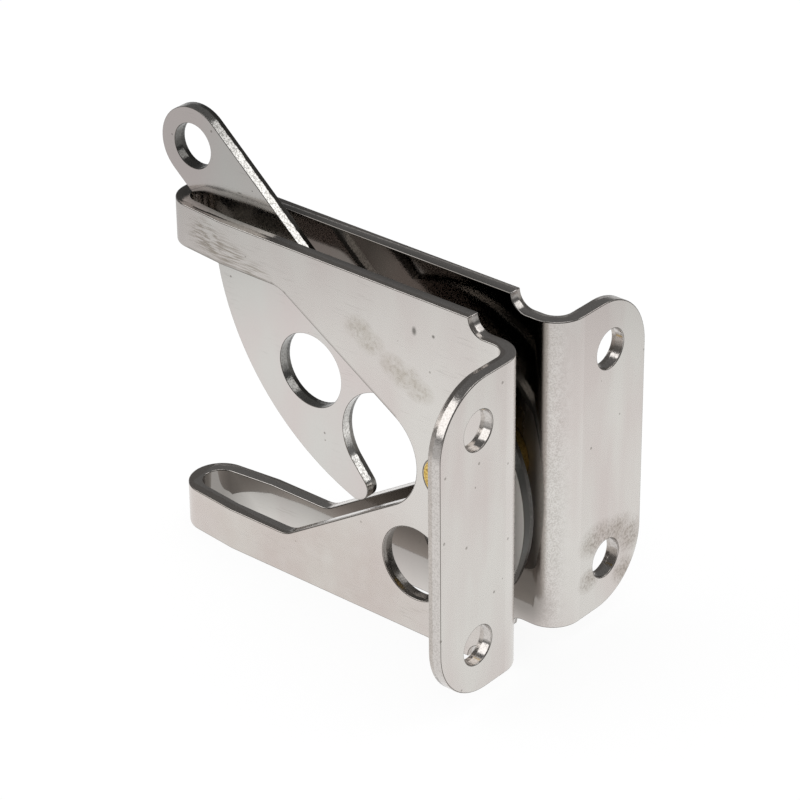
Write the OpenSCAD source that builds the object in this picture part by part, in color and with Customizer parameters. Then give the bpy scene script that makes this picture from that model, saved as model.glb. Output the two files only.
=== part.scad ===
// Gate latch: one folded sheet makes two jaws and two screw flanges, and a flat dog turns
// between its walls on a brass pin. The flanges' rear faces lie on x = 0 and face +X, the noses
// point to -X, y = 0 is the middle plane and z = 0 is half way between the screw rows.

/* [Folded sheet] */
// Thickness of the folded sheet
sheet_t = 2.5; // [1.5:0.1:3]
// Depth from the mounting face to the noses
body_l = 77.9; // [74:0.1:90]
// Height over both jaws
body_h = 64; // [62:0.5:70]
// Clear gap between the two walls
wall_gap = 8.2; // [6.5:0.1:12]
// Clear width inside the folds at the noses
nose_gap = 6.4; // [4:0.1:7]
// Distance ahead of the mounting face where the walls start to close towards the noses
taper_x = 64; // [50:1:65]

/* [Flanges] */
// Width over both flanges
flange_w = 53; // [50:0.5:70]
// Height of the flanges
flange_h = 58; // [55:0.5:61]
// Radius of the flanges' outer corners
flange_corner_r = 11.5; // [6:0.5:14]
// Inside radius of the bends between walls and flanges
bend_r = 3; // [1.5:0.1:4]
// Distance ahead of the mounting face where the walls' full height ends
notch_x = 10.5; // [9:0.1:12]
// Radius of the corner where the walls step down to the flanges
notch_r = 3; // [1:0.1:4]
// Diameter of the screw holes
screw_hole_d = 7; // [4:0.1:8]
// Distance between the screw holes, side to side
screw_span_y = 34; // [32:0.5:40]
// Distance between the screw holes, row to row
screw_span_z = 40; // [30:0.5:42]

/* [Mouth] */
// Height of the mouth between the jaws
mouth_h = 48; // [42:0.5:52]
// Distance ahead of the mounting face where the mouth starts to narrow
lead_x = 51; // [47:0.5:58]
// Rounding of the corners where the mouth starts to narrow
lead_r = 5; // [2:0.5:8]
// Radius of the throat at the back of the mouth
throat_r = 9.9; // [8:0.1:11]
// Distance of the throat's centre ahead of the mounting face
throat_x = 31.4; // [30:0.1:34]

/* [Padlock hole in the walls] */
// Diameter of the hole
wall_hole_d = 13.7; // [8:0.1:15]
// Distance of the hole ahead of the mounting face
wall_hole_x = 22.1; // [21:0.1:24]
// Depth of the hole below the middle
wall_hole_drop = 18.5; // [17:0.1:20]

/* [Pivot] */
// Distance of the pivot ahead of the mounting face
pivot_x = 16; // [15:0.1:17]
// Diameter of the pin
pin_d = 6; // [4:0.1:8]
// How far the pin's ends spread beyond its shank, on the radius
pin_spread = 1; // [0.5:0.1:1.5]
// Depth of the pin's spread ends
pin_end_depth = 1; // [0.6:0.1:1.2]
// Diameter of the spacers beside the dog
spacer_d = 15; // [12:0.1:15.5]
// Clearance around the pin in the dog and the spacers, on the radius
run_clear = 0.05; // [0.02:0.01:0.09]
// Clearance between each spacer and the dog
side_clear = 0.1; // [0.05:0.01:0.3]

/* [Dog] */
// Thickness of the dog
dog_t = 2.5; // [1.5:0.1:4]
// Radius of the dog's slam edge, at its front
front_r = 46.2; // [45:0.1:47]
// Distance of the slam edge's centre ahead of the mounting face
front_x = 24.1; // [23:0.1:25]
// Height of the slam edge's centre
front_z = 28.5; // [28:0.1:30]
// Radius of the dog's back edge
back_r = 28.2; // [27:0.1:28.8]
// Distance of the back edge's centre ahead of the mounting face
back_x = 31.3; // [31:0.1:33]
// Depth of the back edge's centre below the middle
back_drop = 6.4; // [5.5:0.1:7]
// Radius of the pocket that holds the striker bar
pocket_r = 9.3; // [8:0.1:9.3]
// Distance of the pocket's centre ahead of the mounting face
pocket_x = 32.8; // [32.8:0.1:34]
// Depth of the pocket's centre below the middle
pocket_drop = 1.8; // [1:0.1:3]
// Distance of the hook's point ahead of the mounting face
tip_x = 36.8; // [35.5:0.1:37.5]
// Radius of the hook's point
tip_r = 2.5; // [1:0.1:3]
// Slope of the pocket's edge from upright where the hook's point leaves it, in degrees
tip_slope = 39.5; // [34:0.5:44]
// Diameter of the dog's lobe about the pivot
lobe_d = 15; // [11:0.1:15.5]
// How far the tail reaches from the pivot
tail_reach = 22; // [20:0.5:23]
// Distance of the tail's front edge ahead of the mounting face
tail_x = 14.5; // [13:0.1:15]
// Clearance between the tail and the padlock hole in the walls
tail_clear = 1.5; // [1:0.1:2.5]
// Diameter of the padlock hole in the dog
dog_hole_d = 13.6; // [8:0.1:15]
// Distance of that hole ahead of the mounting face
dog_hole_x = 49.1; // [49:0.1:50]
// Height of that hole above the middle
dog_hole_z = 6.6; // [6:0.1:10]

/* [Pull tab] */
// Width of the tab
tab_w = 14; // [12:0.1:16]
// Slope of the tab, in degrees from level
tab_angle = 41; // [39:0.5:43]
// How far the pull hole stands out past the nose that the tab rests on
tab_reach = 5.2; // [4:0.1:12]
// Diameter of the pull hole
pull_hole_d = 8.2; // [5:0.1:10]
// Clearance between the tab and the nose at rest
seat_clear = 0.1; // [0.05:0.01:0.3]

/* [Hidden] */
$fn = 120;
// Flats round a fold at the noses
nose_steps = 30;
// Overshoot of a cut past the face that it opens
over = 1;
// Size that is larger than the whole part
far = 200;
// How far an edge runs past the circle that it touches, so that they cross
hair = 0.01;
// Radius of the bend's outside
bend_out_r = bend_r + sheet_t;
// Half width over both walls
wall_out_y = wall_gap / 2 + sheet_t;
// Half width over both bends, where the flat of a flange starts
bend_end_y = wall_gap / 2 + bend_out_r;
// Outside and inside radius of the folds at the noses, and their centre
nose_in_r = nose_gap / 2;
nose_out_r = nose_in_r + sheet_t;
nose_x = body_l - nose_out_r;
// Length of one spacer
spacer_l = (wall_gap - dog_t) / 2 - side_clear;
// Inner top corner of the upper fold, where the dog's faces cross it
seat = [-nose_x - sqrt(pow(nose_in_r, 2) - pow(dog_t / 2, 2)), body_h / 2];
// Directions along the tab, towards the dog, and across it, upwards
along = [cos(tab_angle), -sin(tab_angle)];
across = [sin(tab_angle), cos(tab_angle)];
// Centre of the pull hole
pull = seat + (tab_w / 2 + seat_clear) * across - tab_reach * along;
// Centres of the dog's edges, in x and z
front = [-front_x, front_z];
back = [-back_x, -back_drop];
pocket = [-pocket_x, -pocket_drop];
pivot = [-pivot_x, 0];
wall_hole = [-wall_hole_x, -wall_hole_drop];
// Length of the tab's strip from the pull hole, which ends well inside the dog
tab_run = front_r / 2;
// Centre of the hook's point, which touches the slam edge from inside
tip_run = front_x - tip_x - tip_r;
tip = [-tip_x - tip_r, front_z - sqrt(pow(front_r - tip_r + hair, 2) - pow(tip_run, 2))];
// Point where the hook's point leaves the pocket
tip_start = pocket - (pocket_r - hair) * [cos(tip_slope), sin(tip_slope)];

// Point where the line from p touches the circle about c, on the left (+1) or right (-1) of p
function touch(p, c, r, side) =
    let (base = atan2(p.y - c.y, p.x - c.x), turn = side * acos(r / norm(p - c)))
    c + r * [cos(base + turn), sin(base + turn)];

// Points that round the corner q of a line p-q-s with radius r
function corner(p, q, s, r, steps = 8) =
    let (u = (p - q) / norm(p - q), v = (s - q) / norm(s - q))
    let (half = acos(u * v) / 2, c = q + (u + v) / norm(u + v) * r / sin(half))
    let (a = atan2((q + u * r / tan(half) - c).y, (q + u * r / tan(half) - c).x))
    let (b = atan2((q + v * r / tan(half) - c).y, (q + v * r / tan(half) - c).x))
    let (sweep = b - a > 180 ? b - a - 360 : b - a < -180 ? b - a + 360 : b - a)
    [for (i = [0:steps]) c + r * [cos(a + sweep * i / steps), sin(a + sweep * i / steps)]];

// Stands a drawing of x and z up and gives it a thickness along y
module plate(thickness) {
    rotate([90, 0, 0]) linear_extrude(thickness, center = true) children();
}

// Round bar along y through a point of x and z
module cross_bar(at, d, length) {
    translate([at.x, 0, at.y]) rotate([90, 0, 0]) cylinder(d = d, h = length, center = true);
}

// Plan of all that lies within a line along the walls and round the noses
module plan_fill(nose_r, wall_y, rear_x) {
    start = [-taper_x, wall_y];
    side = touch(start, [-nose_x, 0], nose_r, 1);
    first = atan2(side.y, side.x + nose_x);
    nose = [for (i = [0:nose_steps]) let (a = first + 2 * (180 - first) * i / nose_steps)
            [-nose_x + nose_r * cos(a), nose_r * sin(a)]];
    polygon(concat([[rear_x, wall_y], start], nose, [[start.x, -start.y], [rear_x, -wall_y]]));
}

// Square plan behind the walls, less a round at each side that follows the bend
module plan_bend(rear_x, r) {
    difference() {
        translate([-bend_out_r, -bend_end_y]) square([bend_out_r + rear_x, 2 * bend_end_y]);
        for (side = [-1, 1]) translate([-bend_out_r, side * bend_end_y]) circle(r);
    }
}

// Plan of the folded sheet: nose, closing walls, bends and flanges
module sheet_plan() {
    difference() {
        union() {
            plan_fill(nose_out_r, wall_out_y, 0);
            plan_bend(0, bend_r);
            translate([-sheet_t, -flange_w / 2]) square([sheet_t, flange_w]);
        }
        plan_fill(nose_in_r, wall_gap / 2, over);
        plan_bend(over, bend_out_r);
    }
}

// Mouth seen from the side: level jaws, a narrowing lead and a round throat
module mouth() {
    lead = [-lead_x, mouth_h / 2];
    throat = touch(lead, [-throat_x, 0], throat_r - hair, -1);
    outside = [-body_l - over, mouth_h / 2];
    upper = concat([outside], corner(outside, lead, throat, lead_r), [throat]);
    lower = [for (i = [len(upper) - 1:-1:0]) [upper[i].x, -upper[i].y]];
    polygon(concat(upper, [[-throat_x, 0]], lower));
    translate([-throat_x, 0]) circle(throat_r);
}

// Step from the walls' full height down to the flanges, with a round inner corner
module notch() {
    translate([-notch_x, flange_h / 2]) difference() {
        square([notch_x + over, body_h]);
        difference() {
            square(notch_r);
            translate([notch_r, notch_r]) circle(notch_r);
        }
    }
}

// Side of the folded sheet
module side_outline() {
    difference() {
        translate([-body_l, -body_h / 2]) square([body_l, body_h]);
        mouth();
        notch();
        mirror([0, 1]) notch();
    }
}

// Rear of the folded sheet: flanges with round corners, and the walls' full height between them
module rear_outline() {
    flat_y = flange_w / 2 - flange_corner_r;
    flat_z = flange_h / 2 - flange_corner_r;
    square([2 * flat_y, flange_h], center = true);
    square([flange_w, 2 * flat_z], center = true);
    for (y = [-flat_y, flat_y], z = [-flat_z, flat_z]) translate([y, z]) circle(flange_corner_r);
    square([2 * bend_end_y, body_h + over], center = true);
}

// Space of the pin in the walls, with its spread ends
module pin_shape(length) {
    cross_bar(pivot, pin_d, length);
    for (side = [-1, 1]) {
        translate([-pivot_x, side * wall_out_y, 0]) rotate([side * 90, 0, 0])
            cylinder(d1 = pin_d + 2 * pin_spread, d2 = pin_d, h = pin_end_depth);
    }
}

// Folded sheet with both jaws, both walls and both flanges
module latch_body() {
    color([0.80, 0.78, 0.76]) difference() {
        intersection() {
            translate([0, 0, -body_h / 2]) linear_extrude(body_h) sheet_plan();
            plate(flange_w + over) side_outline();
            rotate([90, 0, 90]) translate([0, 0, -body_l - over])
                linear_extrude(body_l + 2 * over) rear_outline();
        }
        for (y = [-0.5, 0.5] * screw_span_y, z = [-0.5, 0.5] * screw_span_z) {
            translate([-sheet_t - over, y, z]) rotate([0, 90, 0])
                cylinder(d = screw_hole_d, h = sheet_t + 2 * over);
        }
        cross_bar(wall_hole, wall_hole_d, 2 * wall_out_y + over);
        pin_shape(2 * wall_out_y + over);
    }
}

// Dog behind its slam edge: the disc of the back edge, and ahead of its centre all under the tab
module dog_blank() {
    intersection() {
        translate(front) circle(front_r);
        union() {
            difference() {
                translate(pull) rotate(-tab_angle) translate([-far, tab_w / 2 - far])
                    square([2 * far, far]);
                translate([back.x, -far]) square([far, 2 * far]);
            }
            translate(back) circle(back_r);
        }
    }
}

// Open side of the hook: the pocket, and all below it from the hook's point to the tail
module hook_opening() {
    translate(pocket) circle(pocket_r);
    polygon([tip + far * (tip - front) / norm(tip - front), tip,
             touch(tip_start, tip, tip_r - hair, -1), tip_start, pocket,
             [pocket.x + pocket_r, pocket.y],
             [-tail_x, pivot.y], [-tail_x, -far]]);
}

// Tail behind and below the pivot, clear of the padlock hole in the walls
module tail() {
    difference() {
        intersection() {
            translate(back) circle(back_r);
            translate(pivot) circle(tail_reach);
            translate([-tail_x, -far]) square([far, far]);
        }
        translate(wall_hole) circle(wall_hole_d / 2 + tail_clear);
    }
}

// Tab that rests on the upper nose, with a round end about the pull hole
module tab() {
    translate(pull) rotate(-tab_angle) {
        circle(d = tab_w);
        translate([0, -tab_w / 2]) square([tab_run, tab_w]);
    }
}

// Dog: hook, lobe about the pivot, tail and pull tab, with the pull hole and a padlock hole
module latch_dog() {
    color([0.78, 0.77, 0.75]) difference() {
        plate(dog_t) {
            difference() {
                dog_blank();
                hook_opening();
            }
            translate(tip) circle(tip_r);
            translate(pivot) circle(d = lobe_d);
            tail();
            tab();
        }
        cross_bar(pull, pull_hole_d, dog_t + over);
        cross_bar([-dog_hole_x, dog_hole_z], dog_hole_d, dog_t + over);
        cross_bar(pivot, pin_d + 2 * run_clear, dog_t + over);
    }
}

// Pin, spread at both ends in the walls
module pivot_pin() {
    color([0.80, 0.64, 0.32]) pin_shape(2 * wall_out_y);
}

// Spacer that keeps the dog off one wall
module spacer(side) {
    color([0.80, 0.64, 0.32]) translate([0, side * (wall_gap - spacer_l) / 2, 0]) difference() {
        cross_bar(pivot, spacer_d, spacer_l);
        cross_bar(pivot, pin_d + 2 * run_clear, spacer_l + over);
    }
}

latch_body();
latch_dog();
pivot_pin();
spacer(-1);  // spacer_near
spacer(1);  // spacer_far
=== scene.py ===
"""Looks of a gate latch: a folded sheet, a flat dog between its walls, and a brass pin."""
import math

import bmesh
import bpy
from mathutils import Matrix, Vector


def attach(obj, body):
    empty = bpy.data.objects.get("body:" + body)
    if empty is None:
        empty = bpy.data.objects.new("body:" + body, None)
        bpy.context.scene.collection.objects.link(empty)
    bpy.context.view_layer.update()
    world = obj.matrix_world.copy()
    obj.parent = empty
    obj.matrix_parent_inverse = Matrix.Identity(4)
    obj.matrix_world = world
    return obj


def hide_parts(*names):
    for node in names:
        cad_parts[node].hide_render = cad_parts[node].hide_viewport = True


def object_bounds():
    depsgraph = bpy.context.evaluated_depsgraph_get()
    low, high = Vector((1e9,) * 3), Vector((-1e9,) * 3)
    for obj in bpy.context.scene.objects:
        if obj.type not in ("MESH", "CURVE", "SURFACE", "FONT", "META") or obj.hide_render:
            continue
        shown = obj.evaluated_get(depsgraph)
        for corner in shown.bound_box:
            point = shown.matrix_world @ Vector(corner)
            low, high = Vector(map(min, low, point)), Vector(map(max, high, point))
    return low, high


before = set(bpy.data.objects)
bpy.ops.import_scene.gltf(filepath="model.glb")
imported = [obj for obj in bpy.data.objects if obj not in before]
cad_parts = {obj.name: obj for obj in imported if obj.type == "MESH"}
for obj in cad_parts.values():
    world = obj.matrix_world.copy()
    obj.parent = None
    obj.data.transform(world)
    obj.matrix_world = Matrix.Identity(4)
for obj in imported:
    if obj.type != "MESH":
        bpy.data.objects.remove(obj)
cad_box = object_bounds()

# Camera at the photograph's place, above and behind the latch, with a long lens.
camera = bpy.data.objects.new("camera", bpy.data.cameras.new("camera"))
bpy.context.scene.collection.objects.link(camera)
bpy.context.scene.camera = camera
camera.data.lens = 155.06
camera.location = (0.2909, -0.3777, 0.2889)
camera.rotation_euler = [math.radians(angle) for angle in (60.385, 0.524, 40.091)]


# Folded sheet: one blank of 2.5 mm stainless, laser cut with its mouth and holes, then folded back
# at the noses and bent out into the two screw flanges. Tumbling has broken its arrises, and its
# faces keep the mill's satin, with pits, scuffs and oily smudges from handling.
def linear(colour):
    """Linear colour, with alpha, of an sRGB hex value."""
    parts = [int(colour[i:i + 2], 16) / 255 for i in (1, 3, 5)]
    return [c / 12.92 if c <= 0.04045 else ((c + 0.055) / 1.055) ** 2.4 for c in parts] + [1]


def clear_tree(block):
    """Emptied node tree of a material or a world."""
    block.use_nodes = True
    block.node_tree.nodes.clear()
    return block.node_tree


def add_node(tree, kind, inputs=None, **settings):
    """Adds a node, sets its settings, and links or sets its inputs."""
    node = tree.nodes.new(kind)
    for key, value in settings.items():
        setattr(node, key, value)
    for key, value in (inputs or {}).items():
        if isinstance(value, bpy.types.NodeSocket):
            tree.links.new(value, node.inputs[key])
        else:
            node.inputs[key].default_value = value
    return node


# Points nearer than the weld are one point, faces that turn less than flat are one face, and edges
# that turn more than sharp are broken.
WELD = 0.00011
FLAT = math.radians(0.5)
SHARP = math.radians(30)


def tumbled_copy(node, name, body, lie, arris, choose):
    """Copy of a node with broken arrises. lie gives the way through it and the depth in it."""
    bm = bmesh.new()
    bm.from_mesh(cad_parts[node].data)
    bmesh.ops.remove_doubles(bm, verts=bm.verts, dist=WELD)
    bmesh.ops.dissolve_limit(bm, angle_limit=FLAT, verts=bm.verts, edges=bm.edges)
    for face in bm.faces:
        face.material_index = choose(face)
    sharp = [edge for edge in bm.edges if edge.calc_face_angle(0) > SHARP]
    bmesh.ops.bevel(bm, geom=sharp, offset=arris, offset_type="OFFSET", affect="EDGES", segments=3,
                    profile=0.5, material=-1, clamp_overlap=True)
    mesh = bpy.data.meshes.new(name)
    bm.to_mesh(mesh)
    bm.free()
    mesh.shade_smooth()
    mesh.attributes.new("through", "FLOAT_VECTOR", "POINT")
    mesh.attributes.new("depth", "FLOAT", "POINT")
    for i, vertex in enumerate(mesh.vertices):
        way, share = lie(vertex.co)
        mesh.attributes["through"].data[i].vector = way
        mesh.attributes["depth"].data[i].value = share
    piece = bpy.data.objects.new(name, mesh)
    bpy.context.scene.collection.objects.link(piece)
    piece.modifiers.new("even shading", "WEIGHTED_NORMAL")
    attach(piece, body)
    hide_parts(node)
    return piece


def near_spots(tree, place, spots, ragged):
    """Share that is high inside ellipsoids, each given by its centre and reach, times ragged."""
    share = None
    for centre, reach in spots:
        away = add_node(tree, "ShaderNodeVectorMath", {0: place, 1: centre}, operation="SUBTRACT")
        away = add_node(tree, "ShaderNodeVectorMath", {0: away.outputs[0], 1: reach},
                        operation="DIVIDE")
        away = add_node(tree, "ShaderNodeVectorMath", {0: away.outputs[0]}, operation="LENGTH")
        level = add_node(tree, "ShaderNodeMapRange", {"Value": away.outputs["Value"], 1: 0.35,
                                                      2: 1.0, 3: 1, 4: 0}).outputs[0]
        if share:
            level = add_node(tree, "ShaderNodeMath", {0: share, 1: level},
                             operation="MAXIMUM").outputs[0]
        share = level
    return add_node(tree, "ShaderNodeMath", {0: share, 1: ragged}, operation="MULTIPLY").outputs[0]


def near_line(tree, place, start, end, reach):
    """Share that falls from 1 on the straight line between two points to 0 at a reach from it."""
    way = Vector(end) - Vector(start)
    off = add_node(tree, "ShaderNodeVectorMath", {0: place, 1: start}, operation="SUBTRACT")
    along = add_node(tree, "ShaderNodeVectorMath", {0: off.outputs[0], 1: way / way.length_squared},
                     operation="DOT_PRODUCT")
    along = add_node(tree, "ShaderNodeMapRange", {"Value": along.outputs["Value"]})
    foot = add_node(tree, "ShaderNodeVectorMath", {0: way, "Scale": along.outputs[0]},
                    operation="SCALE")
    away = add_node(tree, "ShaderNodeVectorMath", {0: off.outputs[0], 1: foot.outputs[0]},
                    operation="DISTANCE")
    return add_node(tree, "ShaderNodeMapRange", {"Value": away.outputs["Value"], 2: reach, 3: 1,
                                                 4: 0}).outputs[0]


def painted_arris_shade(tree, base):
    """Base colour with a thin line of painted shade, a painted dark reflection, along each broken
    arris.
    """
    depth = add_node(tree, "ShaderNodeAttribute", attribute_name="depth").outputs["Fac"]
    away = add_node(tree, "ShaderNodeMath", {0: depth}, operation="ABSOLUTE")
    # The line lies just inside the face, and the rest of the arris stays bright.
    away = add_node(tree, "ShaderNodeMath", {0: away.outputs[0], 1: 0.977}, operation="SUBTRACT")
    away = add_node(tree, "ShaderNodeMath", {0: away.outputs[0]}, operation="ABSOLUTE")
    line = add_node(tree, "ShaderNodeMapRange", {"Value": away.outputs[0], 1: 0.016, 2: 0.0225,
                                                 3: 0.9, 4: 0})
    return add_node(tree, "ShaderNodeMix", {0: line.outputs[0], 6: base, 7: linear("#4f4a44")},
                    data_type="RGBA").outputs[2]


# Corners of the mouth's upper edge, seen from the side.
MOUTH_EDGE = [(-0.0720, 0, 0.0240), (-0.0524, 0, 0.0240), (-0.0498, 0, 0.0232),
              (-0.0261, 0, 0.0084)]


def mill_finish(name, pale, warm, satin, folded, painted_lit_patch, marks):
    """Stainless sheet as rolled: a satin grey with faint clouds, pits, hairlines and marks."""
    material = bpy.data.materials.new(name)
    tree = clear_tree(material)
    place = add_node(tree, "ShaderNodeTexCoord").outputs["Object"]
    # Faint clouds, 10 to 40 mm long, that run down the sheet.
    drawn = add_node(tree, "ShaderNodeVectorMath", {0: place, 1: (70, 110, 30)},
                     operation="MULTIPLY")
    clouds = add_node(tree, "ShaderNodeTexNoise", {"Vector": drawn.outputs[0], "Scale": 1,
                                                   "Detail": 3})
    tone = add_node(tree, "ShaderNodeMapRange", {"Value": clouds.outputs[0], 1: 0.38, 2: 0.62})
    base = add_node(tree, "ShaderNodeMix", {0: tone.outputs[0], 6: linear(pale), 7: linear(warm)},
                    data_type="RGBA").outputs[2]
    # Grain of the rolls, 0.4 mm across.
    grain = add_node(tree, "ShaderNodeTexNoise", {"Vector": place, "Scale": 2600, "Detail": 2})
    # Hairlines along the rolling direction, 0.15 mm wide and a few millimetres long, in places.
    along = add_node(tree, "ShaderNodeVectorMath", {0: place, 1: (260, 4000, 4000)},
                     operation="MULTIPLY")
    lines = add_node(tree, "ShaderNodeTexNoise", {"Vector": along.outputs[0], "Scale": 1,
                                                  "Detail": 1})
    lines = add_node(tree, "ShaderNodeMapRange", {"Value": lines.outputs[0], 1: 0.60, 2: 0.74})
    worn = add_node(tree, "ShaderNodeTexNoise", {"Vector": place, "Scale": 130, "Detail": 2})
    worn = add_node(tree, "ShaderNodeMapRange", {"Value": worn.outputs[0], 1: 0.48, 2: 0.66})
    hairlines = add_node(tree, "ShaderNodeMath", {0: lines.outputs[0], 1: worn.outputs[0]},
                         operation="MULTIPLY")
    # Pits, 0.1 to 0.3 mm across and a few millimetres apart.
    cells = add_node(tree, "ShaderNodeTexVoronoi", {"Vector": place, "Scale": 330})
    size = add_node(tree, "ShaderNodeSeparateColor", {"Color": cells.outputs["Color"]})
    size = add_node(tree, "ShaderNodeMapRange", {"Value": size.outputs[0], 1: 0.5, 2: 1, 3: 0,
                                                 4: 0.09})
    pits = add_node(tree, "ShaderNodeMath", {0: cells.outputs["Distance"], 1: size.outputs[0]},
                    operation="LESS_THAN")
    flaws = add_node(tree, "ShaderNodeMath", {0: hairlines.outputs[0], 1: 0.2},
                     operation="MULTIPLY")
    flaws = add_node(tree, "ShaderNodeMath", {0: pits.outputs[0], 1: 0.55, 2: flaws.outputs[0]},
                     operation="MULTIPLY_ADD")
    base = add_node(tree, "ShaderNodeMix", {0: flaws.outputs[0], 6: base, 7: linear("#6b655e")},
                    data_type="RGBA").outputs[2]
    # Shapes of the marks: patches of 1 and 2 mm, specks of 0.5 and 0.3 mm, and streaks of 4 mm.
    ragged = add_node(tree, "ShaderNodeTexNoise", {"Vector": place, "Scale": 900, "Detail": 4})
    ragged = add_node(tree, "ShaderNodeMapRange", {"Value": ragged.outputs[0], 1: 0.36, 2: 0.64})
    blurred = add_node(tree, "ShaderNodeTexNoise", {"Vector": place, "Scale": 420, "Detail": 4})
    blurred = add_node(tree, "ShaderNodeMapRange", {"Value": blurred.outputs[0], 1: 0.3, 2: 0.6,
                                                    3: 0.2})
    fine = add_node(tree, "ShaderNodeTexNoise", {"Vector": place, "Scale": 1900, "Detail": 5})
    fine = add_node(tree, "ShaderNodeMapRange", {"Value": fine.outputs[0], 1: 0.46, 2: 0.62})
    grit = add_node(tree, "ShaderNodeTexNoise", {"Vector": place, "Scale": 3600, "Detail": 1})
    grit = add_node(tree, "ShaderNodeMapRange", {"Value": grit.outputs[0], 1: 0.42, 2: 0.62})
    streaks = add_node(tree, "ShaderNodeVectorMath", {0: place, 1: (230, 3200, 3200)},
                       operation="MULTIPLY")
    streaks = add_node(tree, "ShaderNodeTexNoise", {"Vector": streaks.outputs[0], "Scale": 1,
                                                    "Detail": 3})
    streaks = add_node(tree, "ShaderNodeMapRange", {"Value": streaks.outputs[0], 1: 0.45, 2: 0.6})
    shapes = {"ragged": ragged.outputs[0], "blurred": blurred.outputs[0], "fine": fine.outputs[0],
              "grit": grit.outputs[0], "streaks": streaks.outputs[0], "solid": 1.0}
    for colour, shape, amount, spots in marks:
        share = near_spots(tree, place, spots, shapes[shape])
        share = add_node(tree, "ShaderNodeMath", {0: share, 1: amount}, operation="MULTIPLY")
        base = add_node(tree, "ShaderNodeMix", {0: share.outputs[0], 6: base, 7: linear(colour)},
                        data_type="RGBA").outputs[2]
    rough = add_node(tree, "ShaderNodeMapRange", {"Value": grain.outputs[0], 3: satin - 0.05,
                                                  4: satin + 0.06}).outputs[0]
    metal = 1.0
    dimple = 0.05
    if folded:
        # Between the walls the sheet was never rubbed: it stays smooth to the bends. Its inner
        # faces are darkened with painted shade above the lowest few millimetres, and lower down
        # near the nose, a little less at one spot on the far wall.
        depth = add_node(tree, "ShaderNodeAttribute", attribute_name="depth").outputs["Fac"]
        inner = add_node(tree, "ShaderNodeMapRange", {"Value": depth, 1: -0.3, 2: 0.3, 3: 1, 4: 0})
        spot = add_node(tree, "ShaderNodeSeparateXYZ", {"Vector": place})
        ahead = add_node(tree, "ShaderNodeMapRange", {"Value": spot.outputs["X"], 1: -0.0052,
                                                      2: -0.003, 3: 1, 4: 0})
        inner = add_node(tree, "ShaderNodeMath", {0: inner.outputs[0], 1: ahead.outputs[0]},
                         operation="MULTIPLY").outputs[0]
        rough = add_node(tree, "ShaderNodeMix", {0: inner, 2: rough, 3: 0.07}).outputs[0]
        dimple = add_node(tree, "ShaderNodeMapRange", {"Value": inner, 3: 0.05, 4: 0}).outputs[0]
        inner_shade = add_node(tree, "ShaderNodeMapRange", {"Value": spot.outputs["Z"], 1: -0.0325,
                                                     2: -0.021, 3: 0, 4: 0.85})
        nose = near_spots(tree, place, [((-0.0790, 0, -0.0280), (0.0150, 0.02, 0.0200))], 0.8)
        inner_shade = add_node(tree, "ShaderNodeMath", {0: inner_shade.outputs[0], 1: nose}, operation="MAXIMUM")
        inner_shade = add_node(tree, "ShaderNodeMath", {0: inner_shade.outputs[0], 1: inner},
                        operation="MULTIPLY")
        shade_lifted = near_spots(tree, place, [((-0.0325, 0.0041, 0.0275), (0.0085, 0.003, 0.0075))], 0.5)
        inner_shade = add_node(tree, "ShaderNodeMath", {0: inner_shade.outputs[0], 1: shade_lifted},
                        operation="SUBTRACT", use_clamp=True)
        # The inner faces take the painted shade's dark colour.
        base = add_node(tree, "ShaderNodeMix", {0: inner_shade.outputs[0], 6: base, 7: linear("#55504b")},
                        data_type="RGBA").outputs[2]
        # Painted shade, 0.6 mm wide, lies on the outer arris along the mouth's upper edge: a
        # painted contact shadow and dark reflection.
        side = add_node(tree, "ShaderNodeVectorMath", {0: place, 1: (1, 0, 1)},
                        operation="MULTIPLY")
        outer = add_node(tree, "ShaderNodeMapRange", {"Value": depth, 1: 0.4, 2: 0.7, 4: 0.8})
        for start, end in zip(MOUTH_EDGE, MOUTH_EDGE[1:]):
            edge_shade = near_line(tree, side.outputs[0], start, end, 0.0006)
            edge_shade = add_node(tree, "ShaderNodeMath", {0: edge_shade, 1: outer.outputs[0]},
                             operation="MULTIPLY")
            base = add_node(tree, "ShaderNodeMix", {
                0: edge_shade.outputs[0], 6: base, 7: linear("#5f5850")}, data_type="RGBA").outputs[2]
        # Painted light: the walls, noses and bends are lightened a little and the flanges are not,
        # with a sharp step just beyond each bend.
        off = add_node(tree, "ShaderNodeMath", {0: spot.outputs["Y"]}, operation="ABSOLUTE")
        painted_wall_light = add_node(tree, "ShaderNodeMapRange", {"Value": off.outputs[0], 1: 0.0099,
                                                        2: 0.0101, 3: 0.18, 4: 0})
        base = add_node(tree, "ShaderNodeMix", {0: painted_wall_light.outputs[0], 6: base,
                                                7: linear("#e6e2de")}, data_type="RGBA").outputs[2]
    if painted_lit_patch:
        # Painted light: in the given patch the surface is made matt, pale and hardly metallic, so
        # that it looks lit from the slot behind.
        share = near_spots(tree, place, painted_lit_patch, 1.0)
        rough = add_node(tree, "ShaderNodeMix", {0: share, 2: rough, 3: 0.8}).outputs[0]
        base = add_node(tree, "ShaderNodeMix", {0: share, 6: base, 7: linear("#dedbd6")},
                        data_type="RGBA").outputs[2]
        metal = add_node(tree, "ShaderNodeMapRange", {"Value": share, 3: 1, 4: 0.1}).outputs[0]
    bump = add_node(tree, "ShaderNodeBump", {"Height": grain.outputs[0], "Strength": dimple,
                                             "Distance": 0.00004})
    # Every arris of the faces gets a thin line of painted shade, a painted reflection of the dark
    # room.
    base = painted_arris_shade(tree, base)
    shader = add_node(tree, "ShaderNodeBsdfPrincipled", {
        "Base Color": base, "Metallic": metal, "Roughness": rough, "Normal": bump.outputs[0]})
    add_node(tree, "ShaderNodeOutputMaterial", {"Surface": shader.outputs[0]})
    return material


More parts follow.
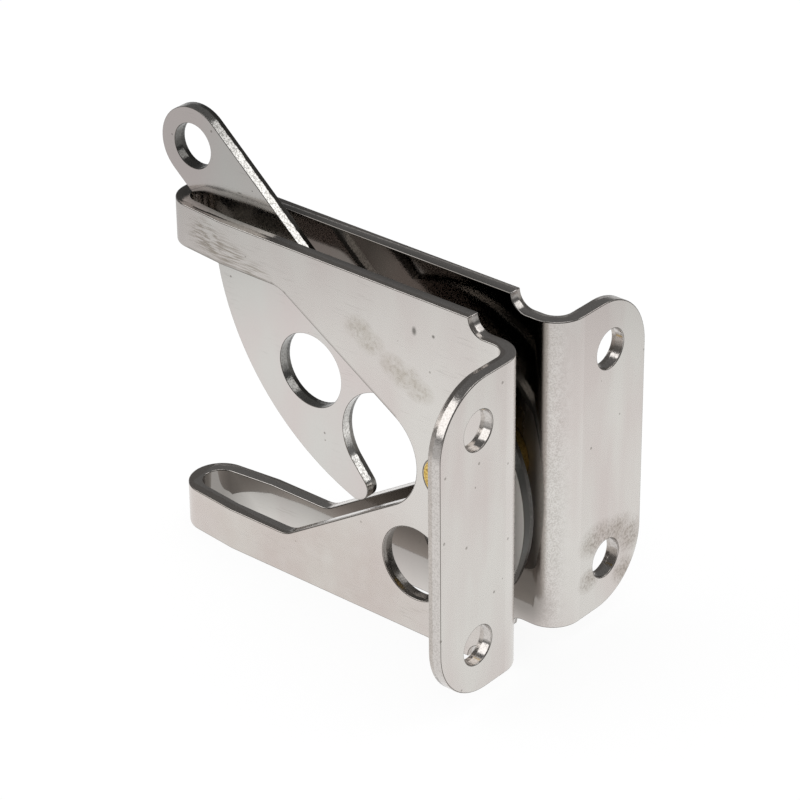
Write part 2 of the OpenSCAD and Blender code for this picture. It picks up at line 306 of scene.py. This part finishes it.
def cut_finish(name, smooth, torn, lean, rim, coarse, painted_edge_shade):
    """Cut edge: a bright smooth band near one face and a dark torn band near the other."""
    material = bpy.data.materials.new(name)
    tree = clear_tree(material)
    place = add_node(tree, "ShaderNodeTexCoord").outputs["Object"]
    depth = add_node(tree, "ShaderNodeAttribute", attribute_name="depth").outputs["Fac"]
    through = add_node(tree, "ShaderNodeAttribute", attribute_name="through").outputs["Vector"]
    wander = add_node(tree, "ShaderNodeTexNoise", {"Vector": place, "Scale": 800, "Detail": 2})
    wander = add_node(tree, "ShaderNodeMath", {0: wander.outputs[0], 1: 0.35, 2: depth},
                      operation="MULTIPLY_ADD")
    zone = add_node(tree, "ShaderNodeMapRange", {"Value": wander.outputs[0], 1: 0.39, 2: 0.53})
    # Cut marks, 0.15 to 0.4 mm wide.
    marks = add_node(tree, "ShaderNodeTexNoise", {"Vector": place, "Scale": 3200, "Detail": 2})
    marks = add_node(tree, "ShaderNodeMapRange", {"Value": marks.outputs[0], 1: 0.44, 2: 0.62})
    base = add_node(tree, "ShaderNodeMix", {0: zone.outputs[0], 6: linear(smooth), 7: linear(torn)},
                    data_type="RGBA")
    speck = add_node(tree, "ShaderNodeMath", {0: marks.outputs[0], 1: 0.55 * coarse},
                     operation="MULTIPLY")
    base = add_node(tree, "ShaderNodeMix", {0: speck.outputs[0], 6: base.outputs[2],
                                            7: linear("#6a665f")}, data_type="RGBA")
    # Painted shade darkens the cut edges in the given spots: the dark room reflected in edges that
    # face up, and shade on edges between the walls.
    share = near_spots(tree, place, painted_edge_shade, 1.0)
    base = add_node(tree, "ShaderNodeMix", {0: share, 6: base.outputs[2], 7: linear("#403f3c")},
                    data_type="RGBA")
    rough = add_node(tree, "ShaderNodeMapRange", {"Value": marks.outputs[0], 3: 0.14, 4: 0.24})
    kept = add_node(tree, "ShaderNodeMapRange", {"Value": depth, 1: rim, 2: rim + 0.06, 3: lean,
                                                 4: 0})
    amount = add_node(tree, "ShaderNodeMath", {0: zone.outputs[0], 1: kept.outputs[0]},
                      operation="MULTIPLY")
    tilt = add_node(tree, "ShaderNodeVectorMath", {0: through, "Scale": amount.outputs[0]},
                    operation="SCALE")
    normal = add_node(tree, "ShaderNodeNewGeometry").outputs["Normal"]
    normal = add_node(tree, "ShaderNodeVectorMath", {0: normal, 1: tilt.outputs[0]},
                      operation="ADD")
    normal = add_node(tree, "ShaderNodeVectorMath", {0: normal.outputs[0]}, operation="NORMALIZE")
    bump = add_node(tree, "ShaderNodeBump", {
        "Height": marks.outputs[0], "Strength": 0.1 * coarse, "Distance": 0.00006,
        "Normal": normal.outputs[0]})
    # Every arris of the cut edges gets a thin line of painted shade, a painted reflection of the
    # dark room.
    shader = add_node(tree, "ShaderNodeBsdfPrincipled", {
        "Base Color": painted_arris_shade(tree, base.outputs[2]), "Metallic": 1,
        "Roughness": rough.outputs[0], "Normal": bump.outputs[0]})
    add_node(tree, "ShaderNodeOutputMaterial", {"Surface": shader.outputs[0]})
    return material


# Thickness, inside radius of the bends, half the gap between the walls, where they start to close
# in, and the inside radius and the place of the noses' fold.
SHEET = 0.0025
BEND_INSIDE = 0.003
WALL_INSIDE = 0.0041
TAPER_X = -0.064
NOSE_INSIDE = 0.0032
NOSE_X = -0.0722


def sheet_lie(point):
    """Way out through the folded sheet at a point, and its depth: -1 on the inside, 1 outside."""
    bend_x = -SHEET - BEND_INSIDE
    side = math.copysign(1, point.y)
    bend_y = side * (WALL_INSIDE + SHEET + BEND_INSIDE)
    if point.x < NOSE_X:
        out = Vector((point.x - NOSE_X, point.y, 0))
        return out.normalized(), (out.length - NOSE_INSIDE) / SHEET * 2 - 1
    if point.x < bend_x:
        closed = max(0, (TAPER_X - point.x) / (TAPER_X - NOSE_X))
        inside = WALL_INSIDE - closed * (WALL_INSIDE - NOSE_INSIDE)
        return Vector((0, side, 0)), (abs(point.y) - inside) / SHEET * 2 - 1
    if abs(point.y) < abs(bend_y):
        out = Vector((bend_x - point.x, bend_y - point.y, 0))
        return out.normalized(), (BEND_INSIDE + SHEET - out.length) / SHEET * 2 - 1
    return Vector((-1, 0, 0)), -point.x / SHEET * 2 - 1


def sheet_part(face):
    """Material of a face of the sheet: 0 for a rolled face and 1 for a cut edge."""
    way, depth = sheet_lie(face.calc_center_median())
    return 1 if abs(face.normal.dot(way)) < 0.7 else 0


# Marks on the sheet: colour, shape, strength and spots, each spot with its centre and its reach.
scuffs = ("#84796a", "streaks", 0.85, [
    ((-0.0680, -0.0066, 0.0280), (0.0050, 0.003, 0.0040)),
    ((-0.0655, -0.0066, 0.0272), (0.0050, 0.003, 0.0040)),
    ((-0.0615, -0.0066, 0.0262), (0.0050, 0.003, 0.0034)),
    ((-0.0570, -0.0066, 0.0245), (0.0050, 0.003, 0.0030))])
smears = ("#a29888", "blurred", 0.5, [
    ((-0.0335, -0.0066, 0.0222), (0.0036, 0.003, 0.0028)),
    ((-0.0312, -0.0066, 0.0205), (0.0036, 0.003, 0.0028)),
    ((-0.0262, -0.0066, 0.0178), (0.0036, 0.003, 0.0026)),
    ((-0.0235, -0.0066, 0.0165), (0.0044, 0.003, 0.0030)),
    ((-0.0208, -0.0066, 0.0150), (0.0036, 0.003, 0.0026))])
dents = ("#403b34", "solid", 0.9, [
    ((-0.0217, -0.0066, 0.0258), (0.0006, 0.003, 0.0010)),
    ((-0.0177, -0.0066, 0.0261), (0.0004, 0.003, 0.0004)),
    ((0, 0.0025, -0.0116), (0.003, 0.0008, 0.0004))])
rubbed = [
    ((0, 0.0145, -0.0150), (0.002, 0.0056, 0.0036)),
    ((0, 0.0190, -0.0160), (0.002, 0.0060, 0.0036)),
    ((0, 0.0235, -0.0185), (0.002, 0.0042, 0.0040)),
    ((0, 0.0125, -0.0222), (0.002, 0.0034, 0.0026)),
    ((0, 0.0220, -0.0245), (0.002, 0.0036, 0.0032))]
stain = ("#978c80", "blurred", 0.5, rubbed)
scratches = ("#6f655b", "fine", 0.45, rubbed)
smear_lines = ("#8b806f", "fine", 0.35, smears[3])
# A darker patch low on the far wall, towards the back of the slot.
low_slot_dark = ("#6b645b", "solid", 0.75, [
    ((-0.0075, 0.0044, -0.0245), (0.0065, 0.0030, 0.0060))])
bend_wear = ("#e9e6e3", "ragged", 0.35, [
    ((-0.0020, 0.0058, 0), (0.003, 0.0032, 0.05))])
bend_grain = ("#857c74", "grit", 0.35, [
    ((-0.0030, 0.0052, 0), (0.004, 0.0028, 0.06))])
film = ("#9c806d", "solid", 0.17, [
    ((-0.0480, -0.0066, -0.0260), (0.0500, 0.0040, 0.0200))])
film_patches = ("#9c806d", "blurred", 0.12, film[3])
sheet_face = mill_finish("2b_stainless_sheet", "#d3d0cb", "#ccc4c0", 0.26, True, None,
                         [film, film_patches, scuffs, smears, smear_lines, dents, stain, scratches,
                          low_slot_dark, bend_wear, bend_grain])
# The spots on the sheet's cut edges get painted shade.
sheet_cut = cut_finish("cut_stainless_sheet", "#cdc8c4", "#bbb4ae", 0.25, 0.8, 0.4,
                       [((-0.0221, 0, -0.0185), (0.0120, 0.02, 0.0120)),
                        ((-0.0650, 0, 0.0320), (0.0240, 0.0100, 0.0060)),
                        ((-0.0300, 0, 0.0300), (0.0600, 0.0058, 0.0300))])
sheet = tumbled_copy("latch_body", "folded_sheet", "frame", sheet_lie, 0.0003,
                     sheet_part)
for material in (sheet_face, sheet_cut):
    sheet.data.materials.append(material)


# Dog: a flat plate of the same sheet, cut to its hook, lobe, tail and pull tab, and tumbled. Its
# cut edges show a bright sheared band towards one face and a dark torn band towards the other.
def dog_lie(point):
    """Way through the flat dog, and the depth in it: -1 on the near face and 1 on the far face."""
    return Vector((0, 1, 0)), point.y / SHEET * 2


def dog_part(face):
    """Material of a face of the dog: 0 for a rolled face and 1 for a cut edge."""
    return 1 if abs(face.normal.y) < 0.7 else 0


specks = ("#5a544c", "solid", 0.6, [
    ((-0.0462, -0.00125, -0.0045), (0.0003, 0.002, 0.0003)),
    ((-0.0640, -0.00125, 0.0352), (0.0007, 0.002, 0.0002)),
    ((-0.0598, -0.00125, 0.0322), (0.0003, 0.002, 0.0003))])
# The dog's tail gets a painted lit patch: pale, matt and hardly metallic.
dog_face = mill_finish("2b_stainless_plate", "#cfcdc9", "#cfc7c4", 0.13, False,
                       [((0, -0.00125, -0.006), (0.0125, 0.01, 0.05))], [specks])
# The spots on the dog's cut edges get painted shade.
dog_cut = cut_finish("cut_stainless_plate", "#e4e2de", "#6e6b66", 0.35, 2, 0.8,
                     [((-0.001, 0, -0.004), (0.012, 0.01, 0.05)),
                      ((-0.0491, 0, 0.0066), (0.0120, 0.01, 0.0120)),
                      ((-0.0744, 0, 0.0408), (0.0095, 0.01, 0.0095))])
dog = tumbled_copy("latch_dog", "hooked_dog", "dog", dog_lie, 0.00018, dog_part)
for material in (dog_face, dog_cut):
    dog.data.materials.append(material)


# Pivot pin and spacers: turned brass. The pin's ends are spread into the walls and left speckled,
# and the spacers keep the dog in the middle of the gap.
brass = bpy.data.materials.new("speckled_brass")
tree = clear_tree(brass)
place = add_node(tree, "ShaderNodeTexCoord").outputs["Object"]
specks = add_node(tree, "ShaderNodeTexNoise", {"Vector": place, "Scale": 3400, "Detail": 3})
tone = add_node(tree, "ShaderNodeMapRange", {"Value": specks.outputs[0], 1: 0.42, 2: 0.72})
base = add_node(tree, "ShaderNodeMix", {0: tone.outputs[0], 6: linear("#e3c471"),
                                        7: linear("#94733a")}, data_type="RGBA")
rough = add_node(tree, "ShaderNodeMapRange", {"Value": specks.outputs[0], 3: 0.25, 4: 0.45})
bump = add_node(tree, "ShaderNodeBump", {"Height": specks.outputs[0], "Strength": 0.2,
                                         "Distance": 0.00005})
shader = add_node(tree, "ShaderNodeBsdfPrincipled", {
    "Base Color": base.outputs[2], "Metallic": 1, "Roughness": rough.outputs[0],
    "Normal": bump.outputs[0]})
add_node(tree, "ShaderNodeOutputMaterial", {"Surface": shader.outputs[0]})
turned_pieces = (("pivot_pin", "spread_pin", 0.00015), ("spacer_near", "near_spacer", 0.0002),
                 ("spacer_far", "far_spacer", 0.0002))
for node, name, arris in turned_pieces:
    turned = tumbled_copy(node, name, "frame", dog_lie, arris, lambda face: 0)
    turned.data.materials.append(brass)


# Floor and light: a white table that goes over into a white sweep, cards at the front and the
# back, and a dark room above, as in the photograph, where upward edges are dark and walls are pale.
FLOOR_HALF = 3
floor_mesh = bpy.data.meshes.new("floor")
bm = bmesh.new()
bmesh.ops.create_grid(bm, x_segments=1, y_segments=1, size=FLOOR_HALF)
bmesh.ops.translate(bm, verts=bm.verts, vec=(0, 0, cad_box[0].z))
bm.to_mesh(floor_mesh)
bm.free()
floor = bpy.data.objects.new("floor", floor_mesh)
bpy.context.scene.collection.objects.link(floor)
white_table = bpy.data.materials.new("white_table")
tree = clear_tree(white_table)
path = add_node(tree, "ShaderNodeLightPath")
seen = add_node(tree, "ShaderNodeMath", {0: path.outputs["Is Camera Ray"],
                                         1: path.outputs["Is Glossy Ray"]}, operation="MAXIMUM")
seen = add_node(tree, "ShaderNodeMath", {
    0: seen.outputs[0], 1: path.outputs["Is Transmission Ray"]}, operation="MAXIMUM")
share = add_node(tree, "ShaderNodeMath", {0: seen.outputs[0], 1: 0.9}, operation="MULTIPLY")
matt = add_node(tree, "ShaderNodeBsdfDiffuse", {"Color": linear("#f2f2f2")})
# The table lies in full light only round the latch, and metal shows how it fades with distance.
spot = add_node(tree, "ShaderNodeTexCoord").outputs["Object"]
away = add_node(tree, "ShaderNodeVectorMath", {0: spot, 1: (-0.02, 0, 0)}, operation="DISTANCE")
fade = add_node(tree, "ShaderNodeMapRange", {"Value": away.outputs["Value"], 1: 0.1, 2: 0.19, 3: 1,
                                             4: 0.55}, interpolation_type="SMOOTHSTEP")
level = add_node(tree, "ShaderNodeMath", {0: fade.outputs[0], 1: path.outputs["Is Camera Ray"]},
                 operation="MAXIMUM")
glow = add_node(tree, "ShaderNodeEmission", {"Color": (1, 1, 1, 1), "Strength": level.outputs[0]})
mixed = add_node(tree, "ShaderNodeMixShader", {0: share.outputs[0], 1: matt.outputs[0],
                                               2: glow.outputs[0]})
add_node(tree, "ShaderNodeOutputMaterial", {"Surface": mixed.outputs[0]})
floor_mesh.materials.append(white_table)

world = bpy.data.worlds.new("studio")
bpy.context.scene.world = world
tree = clear_tree(world)
path = add_node(tree, "ShaderNodeLightPath")
way = add_node(tree, "ShaderNodeTexCoord").outputs["Generated"]
height = add_node(tree, "ShaderNodeSeparateXYZ", {"Vector": way}).outputs["Z"]
sweep = add_node(tree, "ShaderNodeMapRange", {"Value": height, 1: 0.0, 2: 0.14, 3: 0.5, 4: 0.14},
                 interpolation_type="SMOOTHSTEP")
soft = add_node(tree, "ShaderNodeBackground", {"Color": (1, 1, 1, 1), "Strength": 1})
mirrored = add_node(tree, "ShaderNodeBackground", {"Color": (1, 1, 1, 1),
                                                   "Strength": sweep.outputs[0]})
white = add_node(tree, "ShaderNodeBackground", {"Color": (1, 1, 1, 1), "Strength": 1})
shiny = add_node(tree, "ShaderNodeMath", {
    0: path.outputs["Is Glossy Ray"], 1: path.outputs["Is Transmission Ray"]}, operation="MAXIMUM")
mixed = add_node(tree, "ShaderNodeMixShader", {0: shiny.outputs[0], 1: soft.outputs[0],
                                               2: mirrored.outputs[0]})
mixed = add_node(tree, "ShaderNodeMixShader", {0: path.outputs["Is Camera Ray"],
                                               1: mixed.outputs[0], 2: white.outputs[0]})
add_node(tree, "ShaderNodeOutputWorld", {"Surface": mixed.outputs[0]})

# Cards: name, way from the latch, size in metres and power in watts.
CARD_AIM = Vector((-0.055, 0, 0.02))
CARD_AWAY = 0.8
cards = (("overhead", (0.1, 0.1, 1), 0.5, 0.9), ("back", (0.481, 0.67, 0.563), 0.38, 0.62),
         ("front", (-0.563, -0.601, 0.566), 0.7, 2.4))
for name, away, size, power in cards:
    lamp = bpy.data.objects.new(name, bpy.data.lights.new(name, "AREA"))
    lamp.data.size = size
    lamp.data.energy = power
    lamp.location = CARD_AIM + Vector(away).normalized() * CARD_AWAY
    lamp.rotation_euler = Vector(away).to_track_quat("Z", "Y").to_euler()
    bpy.context.scene.collection.objects.link(lamp)

bpy.context.scene.view_settings.view_transform = "Standard"
